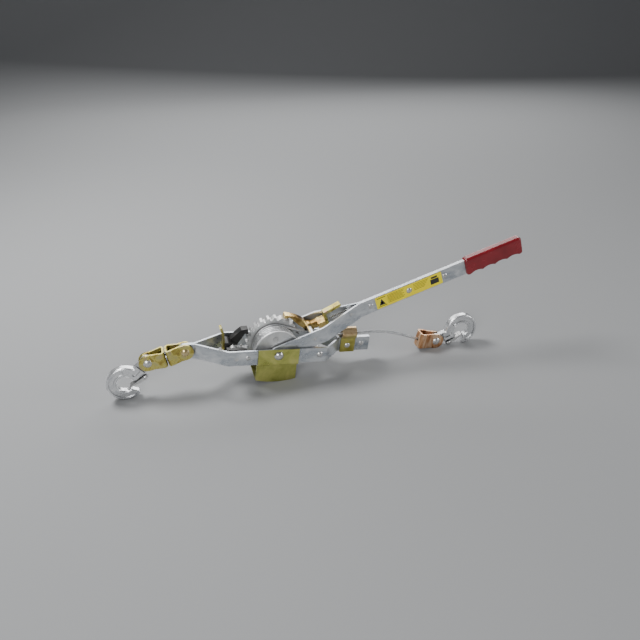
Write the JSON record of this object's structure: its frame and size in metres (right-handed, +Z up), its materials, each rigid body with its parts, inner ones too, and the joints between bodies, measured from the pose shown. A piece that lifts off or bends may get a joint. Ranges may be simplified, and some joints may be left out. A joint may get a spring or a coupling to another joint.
{
  "type": "come along winch",
  "caption": "Hand ratchet cable puller: two-strap frame, toothed drum wound with wire rope, forked handle with grip, swivel hook and cable hook.",
  "frame": {"origin": "middle of the winch's footprint on the floor it lies on", "axes": "+X along the frame towards the cable, +Y to the far side, +Z up"},
  "size_m": [0.6976, 0.0772, 0.1913],
  "materials": {
    "zinc_strap": "galvanized",
    "yellow_zinc": "yellow zinc plated",
    "copper_zinc": "copper-gold zinc plated",
    "cast_drum": "as cast",
    "forged_hook": "zinc plated forging",
    "black_casting": "black",
    "bronze_pawl": "golden bronze plating",
    "bright_steel": "bright zinc",
    "wire_rope": "stranded wire",
    "label": "printed film",
    "grip": "glossy dipped vinyl",
    "spring_steel": "drawn wire",
    "bush": "plain"
  },
  "bodies": {
    "frame": {"frame_strap_near": "zinc_strap", "frame_strap_far": "zinc_strap", "frame_spacer": "bright_steel", "frame_rivets": "bright_steel", "drum_guard": "yellow_zinc", "axle_bolt": "bright_steel", "axle_nut": "bright_steel", "cable_guide": "yellow_zinc", "cable_guide_rivet": "bright_steel", "holding_pawl_pin": "bright_steel", "holding_pawl_spring": "spring_steel", "cable_lead": "wire_rope", "cable_free": "wire_rope", "cable_stop": "bright_steel"},
    "drum": {"cable_drum": "cast_drum", "cable_clamp_screw": "bright_steel", "drum_bush": "bush", "cable_winding": "wire_rope"},
    "handle": {"handle_strap_near": "zinc_strap", "handle_strap_far": "zinc_strap", "handle_rivets": "bright_steel", "handle_label": "label", "handle_grip": "grip", "drive_pawl_pin": "bright_steel", "drive_pawl_spacer": "bright_steel", "drive_pawl_spring": "spring_steel", "drive_spring_anchor": "bright_steel"},
    "drive_pawl": {"drive_pawl": "bronze_pawl", "drive_pawl_lever": "yellow_zinc"},
    "holding_pawl": {"holding_pawl": "black_casting", "holding_pawl_lever": "yellow_zinc"},
    "frame_clevis": {"frame_clevis": "yellow_zinc", "frame_clevis_pin": "bright_steel", "swivel_rivet": "bright_steel", "swivel_washer": "bright_steel"},
    "hook_clevis": {"hook_clevis": "yellow_zinc", "hook_clevis_pin": "bright_steel"},
    "anchor_hook": {"anchor_hook": "forged_hook", "anchor_latch_pin": "bright_steel", "anchor_latch_spring": "spring_steel"},
    "anchor_latch": {"anchor_latch": "bright_steel"},
    "cable_clevis": {"cable_clevis": "copper_zinc", "cable_clevis_pin": "bright_steel"},
    "cable_hook": {"cable_hook": "forged_hook", "cable_latch_pin": "bright_steel", "cable_latch_spring": "spring_steel"},
    "cable_latch": {"cable_latch": "bright_steel"}
  },
  "joints": [
    {"name": "drum_spin", "type": "hinge", "parent": "frame", "child": "drum", "pos_m": [-0.08153, 0, 0.05445], "axis": [0, 1, 0], "continuous": true},
    {"name": "handle_swing", "type": "hinge", "parent": "frame", "child": "handle", "pos_m": [-0.08153, 0, 0.05445], "axis": [0, -1, 0], "range_deg": [0, 60]},
    {"name": "drive_pawl_lift", "type": "hinge", "parent": "handle", "child": "drive_pawl", "pos_m": [-0.02099, 0, 0.07188], "axis": [0, -1, 0], "range_deg": [-10, 3.5]},
    {"name": "holding_pawl_lift", "type": "hinge", "parent": "frame", "child": "holding_pawl", "pos_m": [-0.14801, 0, 0.05887], "axis": [0, -1, 0], "range_deg": [-5, 15]},
    {"name": "frame_clevis_swing", "type": "hinge", "parent": "frame", "child": "frame_clevis", "pos_m": [-0.22338, 0, 0.06945], "axis": [0, -1, 0], "range_deg": [-60, 60]},
    {"name": "anchor_swivel", "type": "hinge", "parent": "frame_clevis", "child": "hook_clevis", "pos_m": [-0.25253, 0, 0.06495], "axis": [-0.9883, 0, -0.1523], "continuous": true},
    {"name": "anchor_hook_swing", "type": "hinge", "parent": "hook_clevis", "child": "anchor_hook", "pos_m": [-0.28169, 0, 0.06046], "axis": [0, -1, 0], "range_deg": [-50, 50]},
    {"name": "anchor_latch_swing", "type": "hinge", "parent": "anchor_hook", "child": "anchor_latch", "pos_m": [-0.28846, 0, 0.0349], "axis": [0, -1, 0], "range_deg": [0, 10]},
    {"name": "cable_swivel", "type": "hinge", "parent": "frame", "child": "cable_clevis", "pos_m": [0.17096, 0, 0.02112], "axis": [0.9734, 0, -0.229], "continuous": true},
    {"name": "cable_hook_swing", "type": "hinge", "parent": "cable_clevis", "child": "cable_hook", "pos_m": [0.20406, 0, 0.01333], "axis": [0, -1, 0], "range_deg": [-50, 50]},
    {"name": "cable_latch_swing", "type": "hinge", "parent": "cable_hook", "child": "cable_latch", "pos_m": [0.22918, 0, 0.00507], "axis": [0, 1, 0], "range_deg": [0, 10]}
  ]
}
